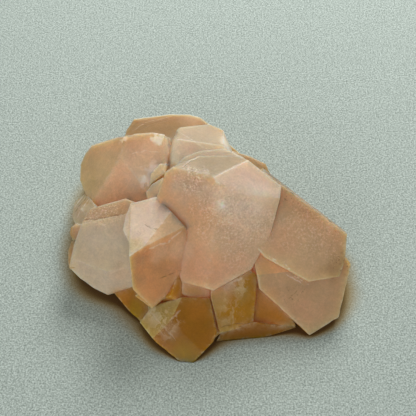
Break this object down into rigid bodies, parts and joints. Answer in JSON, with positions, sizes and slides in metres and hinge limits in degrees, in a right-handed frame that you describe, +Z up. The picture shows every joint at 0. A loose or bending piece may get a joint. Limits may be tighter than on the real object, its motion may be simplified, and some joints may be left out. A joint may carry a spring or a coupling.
{
  "type": "calcite crystal cluster",
  "caption": "Hand-sized cluster of stubby, translucent peach and honey calcite crystals grown together, cut off flat where it rests.",
  "frame": {"origin": "middle of the bounding box's footprint, on the flat cut that the cluster rests on", "axes": "+Z up from the flat cut, +X along the longest extent to the right seen from the front, +Y to the back"},
  "size_m": [0.0826, 0.078, 0.0385],
  "materials": {
    "calcite": "translucent calcite, glassy on clean faces and satin where etched"
  },
  "bodies": {
    "root": {"calcite_cluster": "calcite"}
  },
  "joints": []
}
